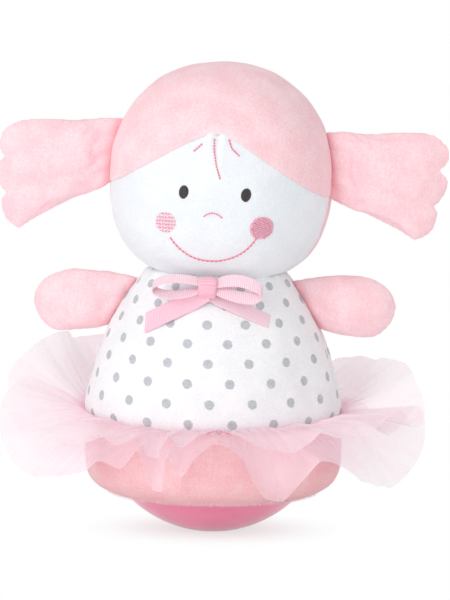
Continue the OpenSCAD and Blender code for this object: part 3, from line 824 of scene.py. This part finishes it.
def hood_point(u, v):
    angle = math.pi * (u - 0.5)
    low = head_bend(edge_level(angle))
    h = head_level(low + (math.pi / 2 - low) * v)
    turned = math.exp(-v / 0.02)
    return head_point(angle, h, hood_proud - 0.5 * turned)


def nape_point(u, v):
    angle = math.pi * (u + 0.5)
    low = head_bend(neck_level(angle))
    h = head_level(low + (math.pi / 2 - low) * v)
    return head_point(angle, h, nape_proud * min(1, 8 * v))


face_white, _, _ = velour("velour_face_white", dye(241, 245, 248), dye(232, 236, 241), 13 * mm, 0.8 * mm)
hood_pink, _, _ = velour("velour_hood_pink", dye(255, 224, 229), dye(250, 203, 210), 12 * mm, 0.9 * mm)
for name, node, place, plush, slot in (
    ("face_cover", "face_panel", face_point, face_white, "velour_white"),
    ("hood_front", "hood_front_panel", hood_point, hood_pink, "velour_pink"),
    ("hood_back", "hood_back_panel", nape_point, hood_pink, "velour_pink"),
):
    panel = lay_cloth(name, 200, 90, place, velour_t, ring=True)
    panel.data.materials.append(plush)
    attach(panel, "doll")
    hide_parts(node)

# Face embroidery
# Rayon thread machine-sewn through the face: satin-stitch eyes, filled cheeks, and running stitches for
# the nose, smile and fringe marks. Each stitch lies on the velour and dips into it at both ends.
stitch_rise = (-0.35, 0.1, 0.22, 0.1, -0.35)
stitch_taper = (0.55, 1, 1, 1, 0.55)
eye = {"wide": 4.9, "tall": 5.5, "spacing": 0.34, "stitch": 9, "slant": 0.12}
eye_places = [(-12.0, -4.1), (14.0, -3.5)]
left_cheek = {"x": -19.0, "h": -17.7, "wide": 8.6, "tall": 8.8, "spacing": 0.45, "stitch": 2.0, "slant": 0}
right_cheek = {"x": 21.0, "h": -17.2, "wide": 9.6, "tall": 9.6, "spacing": 0.4, "stitch": 2.1, "slant": 0.05}
nose_left = -3.1
nose_low = -13.8
nose_wide = 8
nose_tall = 2.0
smile_middle = (0.5, -12)
smile_r = 20.9
smile_half = 59.7
smile_turn = 4.3
fringe_marks = [
    [(-5.6, 16.5), (-9.1, 13.0)],
    [(-0.8, 19.0), (-0.5, 14.4), (1.0, 7.8), (3.0, 2.4)],
    [(5.2, 18.9), (6.8, 15.2), (10.3, 12.4)],
]


def face_spot(x, h, proud):
    reach = math.sqrt(max(head_at(h) ** 2 - x * x, 0))
    angle = math.atan2(x, reach)
    return head_point(angle, h, proud + dart(x, h))


def sew(name, node, runs, thick, thread):
    """Lay each stitch as a short thread whose ends dip into the cloth."""
    bpy.ops.object.select_all(action="DESELECT")
    curve = bpy.data.curves.new(name, "CURVE")
    curve.dimensions = "3D"
    curve.bevel_depth = thick / 2
    curve.bevel_resolution = 1
    curve.use_fill_caps = True
    for (x0, h0), (x1, h1) in runs:
        line = curve.splines.new("POLY")
        line.points.add(4)
        for k, point in enumerate(line.points):
            t = k / 4
            proud = stitch_rise[k] + thick / mm / 4
            point.co = (*face_spot(x0 + (x1 - x0) * t, h0 + (h1 - h0) * t, proud), 1)
            point.radius = stitch_taper[k]
    piece = bpy.data.objects.new(name, curve)
    bpy.context.scene.collection.objects.link(piece)
    bpy.context.view_layer.objects.active = piece
    piece.select_set(True)
    bpy.ops.object.convert(target="MESH")
    bpy.ops.object.shade_smooth()
    piece = bpy.context.object
    piece.data.materials.append(thread)
    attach(piece, "doll")
    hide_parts(node)


def rayon(name, colour, deep):
    made, shader, wires = finish(name, 0.42, Sheen_Weight=0.2)
    twist = speckle(wires, 0.35 * mm, 2)
    feed(twist.step(0.3, 0.7).tint(deep, colour), shader, "Base Color")
    raise_by(wires, shader, twist, 0.05 * mm)
    return made


def cheek_rayon():
    """Pink thread: a close mid pink fill on the right cheek, and on the left a painted highlight, paler,
    with dashed rows of painted shade.
    """
    made, shader, wires = finish("thread_pink", 0.42, Sheen_Weight=0.2)
    place = wires.node("TexCoord", out=3)
    across = place.part(0)
    up = place.part(2)
    twist = speckle(wires, 0.45 * mm, 2)
    rows = wires.math("ABSOLUTE", wires.math("SINE", up * (math.pi / (1.5 * mm)))).step(0.7, 0.95)
    shaded_gap_dashes = wires.math("ABSOLUTE", wires.math("SINE", across * (math.pi / (1.3 * mm)))).step(0.25, 0.6)
    # Painted light on the left cheek: a paler painted highlight, and deeper dashed rows of painted shade
    # between the threads.
    lit_cheek_fill = (rows * shaded_gap_dashes).tint(dye(253, 224, 233), dye(238, 156, 178))
    close = twist.step(0.35, 0.62).tint(dye(228, 150, 174), dye(244, 190, 206))
    feed(across.step(-1 * mm, 1 * mm).tint(lit_cheek_fill, close), shader, "Base Color")
    raise_by(wires, shader, twist, 0.05 * mm)
    return made


def oval_fill(x, h, wide, tall, spacing, stitch, slant):
    """Rows of stitches that fill an oval, each row starting a little further along."""
    runs = []
    rows = int(tall / spacing)
    for i in range(rows):
        dh = (i + 0.5 - rows / 2) * spacing
        half = wide / 2 * math.sqrt(max(0, 1 - (dh / (tall / 2)) ** 2))
        ends = [-half]
        step = stitch * (0.55 if i % 2 else 1)
        while ends[-1] + step < half - 0.3:
            ends.append(ends[-1] + step)
            step = stitch
        ends.append(half)
        runs += [((x + a, h + dh + slant * a), (x + b, h + dh + slant * b)) for a, b in zip(ends, ends[1:])]
    return runs


def line_runs(points, stitch, gap):
    """Running stitches of about one length along a line, with a share of each left as a gap."""
    length = sum(math.dist(a, b) for a, b in zip(points, points[1:]))
    count = max(1, round(length / stitch))
    ends = (gap / 2, 1 - gap / 2)
    return [tuple(along_outline(points, (i + end) / count) for end in ends) for i in range(count)]


dark_thread = rayon("thread_dark", dye(66, 56, 56), dye(38, 30, 32))
pink_thread = cheek_rayon()
rose_thread = rayon("thread_rose", dye(246, 136, 158), dye(230, 104, 130))
eyes = [run for x, h in eye_places for run in oval_fill(x, h, **eye)]
sew("sewn_eyes", "embroidered_eyes", eyes, 0.46 * mm, dark_thread)
cheeks = oval_fill(**left_cheek) + oval_fill(**right_cheek)
sew("sewn_cheeks", "embroidered_cheeks", cheeks, 0.56 * mm, pink_thread)
nose = []
for i in range(11):
    nose.append((nose_left + nose_wide * i / 10, nose_low + nose_tall * math.sin(math.pi * i / 10) ** 0.8))
sew("sewn_nose", "embroidered_nose", line_runs(nose, 1.2, 0.22), 0.52 * mm, rose_thread)
smile = []
for i in range(25):
    swing = math.radians(smile_turn - smile_half + 2 * smile_half * i / 24)
    smile.append((smile_middle[0] + smile_r * math.sin(swing), smile_middle[1] - smile_r * math.cos(swing)))
sew("sewn_smile", "embroidered_mouth", line_runs(smile, 1.8, 0.1), 0.66 * mm, rose_thread)
fringe = [run for marks in fringe_marks for run in line_runs(marks, 1.25, 0.25)]
sew("sewn_fringe", "fringe_stitches", fringe, 0.62 * mm, rose_thread)

# Arms and pigtails
# Each is two flat pieces of pink velour sewn round the edge, turned, stuffed with fibre and closed into a
# seam of the body or the head, so it is pinched there and swings there. The pigtails end in three lobes.
root_sunk = 1.2
arm_z = 95.2
arm_seam = 20.4
arm_reach = 38.4
arm_root = 38.95
arm_thick = 16
palm_more = 6.2
palm_share = 0.62
tie_x = 45.8
tie_h = 6.6
tie_seam = 27
fan_more = 24.5
fan_power = 0.85
pigtail_reach = 49.2
pigtail_thick = 13
pigtail_rise = math.radians(10)
blown_up = 10
held_reach = 9
held_fade = 6
bulge_limit = 1.4 * mm
tip_ease = 4 * mm
fill_frames = 20
root_shade_reach = 2.2 * mm
edge_seam = 0.8 * mm
pucker_pitch = 0.7 * mm


def pinched(s, v, thick, early, power):
    """Half the thickness of a stuffed shape that is flat at its root, its sides and its end."""
    full = max(0.0, math.sin(math.pi * min(1, s) ** early)) ** power
    return thick / 2 * full * max(0.0, 1 - v * v) ** 0.55


arm_slope = (dress_at(arm_z - arm_seam / 2) - dress_at(arm_z + arm_seam / 2)) / arm_seam


def arm_point(s, v):
    palm = math.sin(math.pi / 2 * min(1, s / palm_share))
    end = max(0, (s - palm_share) / (1 - palm_share))
    dz = v * (arm_seam + palm_more * palm) / 2 * math.sqrt(max(0, 1 - end**2))
    x = dress_at(arm_z) - root_sunk + arm_reach * s - arm_slope * (1 - s) * dz
    crease = 1 - 0.28 * bell(s - 0.2, 0.1) * bell(v + 0.1, 0.35)
    return x, arm_z + dz, pinched(s, v, arm_thick, 0.8, 0.7) * crease


def pigtail_point(s, v, droop):
    """A fan that widens from its root to three soft lobes, the lowest one shorter, with rounded corners."""
    root_x = head_at(tie_h + v * tie_seam / 2) - root_sunk
    half = (tie_seam + fan_more * s**fan_power) / 2 * (1 - 0.07 * s**8)
    q = 3 * (1 - v) / 2
    f = 2 * (q - min(math.floor(q), 2)) - 1
    corner = max(0, abs(v) - 0.7) / 0.3
    lobes = -2.8 * abs(f) ** 3 - 4.5 * (v - 0.25) ** 2 - 3.5 * (1 - math.sqrt(1 - 0.98 * corner**2))
    x = (1 - s) * root_x + s * head_r + 0.3 + pigtail_reach * s + s**3 * lobes
    z = tie_h - droop * s**fan_power + v * half
    valley = sum(bell(v - place, 0.13) for place in (1 / 3, -1 / 3))
    folds = sum(bell(v - place, 0.16) for place in (0.45, -0.1, -0.6))
    thin = (1 - 0.5 * valley * s**1.6) * (1 - 0.3 * folds * bell(s - 0.12, 0.14))
    return x, z, pinched(s, v, pigtail_thick, 0.8, 0.55) * thin


def fill_limb(limb, root):
    """Blow the limb up as stuffing does, with its root held. It is worked larger and then set back."""
    start = [p.co.copy() for p in limb.data.vertices]
    held = limb.vertex_groups.new(name="root_seam")
    for point in limb.data.vertices:
        near = abs(point.co.x - root.x) / mm
        held.add([point.index], max(0.0, min(1.0, (held_reach - near) / held_fade)), "REPLACE")
        point.co = root + (point.co - root) * blown_up
    filling = limb.modifiers.new("filling", "CLOTH")
    filling.settings.quality = 5
    filling.settings.use_pressure = True
    filling.settings.uniform_pressure_force = 4
    filling.settings.tension_stiffness = 12
    filling.settings.compression_stiffness = 12
    filling.settings.bending_stiffness = 0.4
    filling.settings.vertex_group_mass = "root_seam"
    filling.settings.effector_weights.gravity = 0
    for number in range(1, fill_frames + 1):
        bpy.context.scene.frame_set(number)
    bpy.ops.object.modifier_apply(modifier="filling")
    bpy.context.scene.frame_set(1)
    reach = max(abs(p.x - root.x) for p in start)
    for point, before in zip(limb.data.vertices, start):
        moved = root + (point.co - root) / blown_up - before
        moved *= min(1, (reach - abs(before.x - root.x)) / tip_ease)
        if moved.length > bulge_limit:
            moved *= bulge_limit / moved.length
        point.co = before + moved
    limb.vertex_groups.clear()


def stuff_limb(node, outline, side, place, root, lean):
    """Lay the two sewn faces, fill them, press in the edge seam and mark the root for painted shade."""

    def laid(u, v):
        s = math.sin(math.pi / 2 * u)
        face = 1 if v < 0.5 else -1
        across = 1 - 4 * v if v < 0.5 else 4 * v - 3
        x, z, half = outline(s, max(-1.0, min(1.0, across)))
        return place @ (Vector((side * x, -face * half, z)) * mm)

    limb = lay_cloth("plush_" + node, 64, 144, laid, 0, ring=True)
    bpy.ops.object.mode_set(mode="EDIT")
    bpy.ops.mesh.select_all(action="SELECT")
    bpy.ops.mesh.remove_doubles(threshold=0.05 * mm)
    bpy.ops.mesh.normals_make_consistent(inside=False)
    bpy.ops.object.mode_set(mode="OBJECT")
    fill_limb(limb, root)
    finer = limb.modifiers.new("finer", "SUBSURF")
    finer.levels = 1
    finer.render_levels = 1
    bpy.ops.object.modifier_apply(modifier="finer")
    for point, normal in [(p, p.normal.copy()) for p in limb.data.vertices]:
        out = (point.co - root).length
        seam = bell(point.co.y, edge_seam) * min(1, out / (8 * mm))
        pucker = 0.6 + 0.4 * math.sin(point.co.x / pucker_pitch) * math.sin(point.co.z / pucker_pitch)
        soft = 0.6 * lumps(point.co, 9 * mm) + 0.3 * lumps(point.co, 4 * mm)
        press = 0.4 * seam * pucker + soft * (1 - seam) * min(1, out / (14 * mm))
        point.co -= normal * press * mm
    bpy.ops.object.shade_smooth()
    limb.data.materials.append(limb_pink)
    outwards = Vector((side * math.cos(lean), 0, math.sin(lean)))
    # Mark a narrow band round the root for painted shade, where the limb is sewn in.
    crease = limb.data.attributes.new("crease", "FLOAT", "POINT")
    depths = [(p.co - root).dot(outwards) for p in limb.data.vertices]
    crease.data.foreach_set("value", [bell(depth, root_shade_reach) for depth in depths])
    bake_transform(limb)
    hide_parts(node)


limb_pink, limb_shader, limb_wires = velour(
    "velour_limb_pink", dye(255, 222, 227), dye(251, 203, 211), 10 * mm, 0.9 * mm
)
plain_limb = Wire(limb_wires.tree, limb_shader.inputs["Base Color"].links[0].from_socket)
# Painted shade: a deep pink band along each limb's root, where it folds against the body or the head.
root_shade = limb_wires.node("Attribute", {"attribute_name": "crease"}, out=2)
feed((root_shade * 0.5).tint(plain_limb, dye(250, 160, 168)), limb_shader, "Base Color")
for side, name in ((-1, "left_arm"), (1, "right_arm")):
    root = Vector((side * arm_root, 0, arm_z)) * mm
    stuff_limb(name, arm_point, side, Matrix.Identity(4), root, math.atan(arm_slope))
for side, name, droop in ((-1, "left_pigtail", 14.2), (1, "right_pigtail", 6.6)):
    tie = head_place @ (Vector((side * tie_x, 0, tie_h)) * mm)
    stuff_limb(name, lambda s, v: pigtail_point(s, v, droop), side, head_place, tie, pigtail_rise)

# Neck bow
# One length of pink grosgrain ribbon: two open loops and two straight-cut tails, held by a short wrap of
# the same ribbon that is tacked to the dress just under the neck seam.
ribbon_t = 0.4 * mm
bow_z = 103.7
loop_wide = 6.7
tail_z = bow_z - 0.5
tail_wide = 7.8
tail_fall = math.atan2(13, 27)
knot_half = 3.7
knot_deep = 3.4
knot_tall = 4.7
# Middle line of each loop out from the knot and back: across, out from the dress and up
loop_lines = {
    "left": [
        (-1.5, 4.6, 0.9), (-6, 5.2, 2.4), (-12, 5.4, 3.1), (-18, 5.2, 2.6), (-22.3, 4.8, 0.6),
        (-22.4, 4.4, -1.6), (-18.5, 4.2, -3.4), (-13, 4.2, -3.7), (-7, 4.3, -2.5), (-1.5, 4.4, -0.9),
    ],
    "right": [
        (1.5, 4.6, 0.9), (6, 5.4, 2.3), (12, 5.8, 2.8), (18, 5.4, 1.5), (22.4, 4.8, -0.9),
        (22.5, 4.3, -3.2), (18.8, 4.0, -4.8), (13, 4.1, -4.3), (7, 4.3, -2.5), (1.5, 4.4, -0.9),
    ],
}
loop_lean = {"left": math.radians(60), "right": math.radians(76)}
# Each tail's drop, its turn round the dress, and how upright its width stands
tail_lie = {-1: (12.6, math.radians(36), 1.0), 1: (11.2, math.radians(38), 0.68)}
slope = math.atan2(dress_at(bow_z - 0.5) - dress_at(bow_z + 0.5), 1.0)
bow_place = Matrix.Translation((0, -dress_at(bow_z) * mm, bow_z * mm)) @ Matrix.Rotation(-slope, 4, "X")


def smooth_line(points, share):
    """A point on the smooth curve through a list of points."""
    last = len(points) - 1
    place = share * last
    i = min(int(place), last - 1)
    t = place - i
    p0, p1, p2, p3 = (Vector(points[max(0, min(last, k))]) for k in (i - 1, i, i + 1, i + 2))
    square = 2 * p0 - 5 * p1 + 4 * p2 - p3
    cube = 3 * p1 - p0 - 3 * p2 + p3
    return 0.5 * (2 * p1 + (p2 - p0) * t + square * t**2 + cube * t**3)


def grosgrain(name, colour, deep, ribs):
    """Ribbon with close cross ribs, painted shade in the grooves between them, and a thin firm edge drawn
    darker.
    """
    made, shader, wires = finish(name, 0.55, Sheen_Weight=0.25)
    place = wires.node("UVMap", {"uv_map": "UVMap"})
    rib = wires.math("SINE", place.part(0) * ribs * math.tau) * 0.5 + 0.5
    border = wires.math("ABSOLUTE", place.part(1) - 0.5).step(0.44, 0.48)
    drift = speckle(wires, 6 * mm, 2)
    # Painted shade in the grooves between the ribs, darker at the edge, with a slow drift of tone.
    shade = (1 - rib) * 0.75 + drift * 0.2 + border * 0.25
    feed(shade.tint(colour, deep), shader, "Base Color")
    raise_by(wires, shader, rib * (1 - border), 0.12 * mm, 0.8)
    return made


def ribbon_piece(name, place, plush, along=96, across=8, ring=False):
    piece = lay_cloth(name, along, across, place, ribbon_t, ring)
    piece.data.materials.append(plush)
    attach(piece, "doll")
    return piece


def loop_point(side, u, v):
    x, out, up = smooth_line(loop_lines[side], u)
    pinch = 1 - 0.5 * bell(min(u, 1 - u), 0.07)
    wide = (v - 0.5) * loop_wide * pinch
    out += 0.4 * math.cos(math.pi * (v - 0.5)) * (1 - pinch) - wide * math.cos(loop_lean[side])
    return bow_place @ (Vector((x, -out, up + wide * math.sin(loop_lean[side]))) * mm)


def tail_point(side, u, v):
    """A tail runs round the dress and down. The left one stands off the dress, the right one lies on it."""
    drop, turned, upright = tail_lie[side]
    bunched = 0.7 + 0.3 * min(1, u / 0.22)
    wide = (v - 0.5) * tail_wide * bunched
    reach = u * (1 - 0.1 * (v - 0.5)) if side < 0 else u
    middle = tail_z - drop * reach**1.15
    z = middle + wide * math.cos(tail_fall) * upright
    lowest = middle - tail_wide / 2 * bunched * math.cos(tail_fall)
    r = dress_at(lowest if side < 0 else z) + 1.0 + 3.0 * math.exp(-u / 0.07)
    r += 0.9 * math.sin(3.1 * u + side) ** 2 * (1 - u)
    angle = side * (turned * reach + wide * math.sin(tail_fall) * 0.9 / r)
    return ring_point(angle, r, z) * mm


def rounded(value, power):
    return math.copysign(abs(value) ** power, value)


def knot_point(u, v):
    around = 2 * math.pi * u
    over = math.pi * (v - 0.5)
    size = max(0.0, math.cos(over)) ** 0.3
    x = knot_half * rounded(math.sin(over), 0.6) * (1 + 0.06 * math.sin(around))
    out = rounded(math.sin(around), 0.7) * knot_deep * size
    up = rounded(math.cos(around), 0.7) * knot_tall * size
    return bow_place @ (Vector((x, -4.2 - out, up - 0.3)) * mm)


# The bow is one ribbon; the deeper copies on the left tail and the wrap are painted shade.
ribbon_pale = grosgrain("ribbon_pale", dye(255, 236, 243), dye(250, 200, 216), 62)
ribbon_shaded = grosgrain("ribbon_shaded", dye(252, 214, 226), dye(246, 180, 201), 40)
ribbon_wrap_shaded = grosgrain("ribbon_wrap_shaded", dye(251, 200, 214), dye(243, 170, 190), 30)
for side in ("left", "right"):
    loop = ribbon_piece("bow_loop_" + side, lambda u, v: loop_point(side, u, v), ribbon_pale, 120)
    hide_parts("bow_loops")
for side, name, plush in ((-1, "bow_tail_left", ribbon_shaded), (1, "bow_tail_right", ribbon_pale)):
    tail = ribbon_piece(name, lambda u, v: tail_point(side, u, 1 - v if side < 0 else v), plush)
    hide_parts("bow_tails")
wrap = ribbon_piece("bow_wrap", knot_point, ribbon_wrap_shaded, 72, 24, True)
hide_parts("bow_knot")
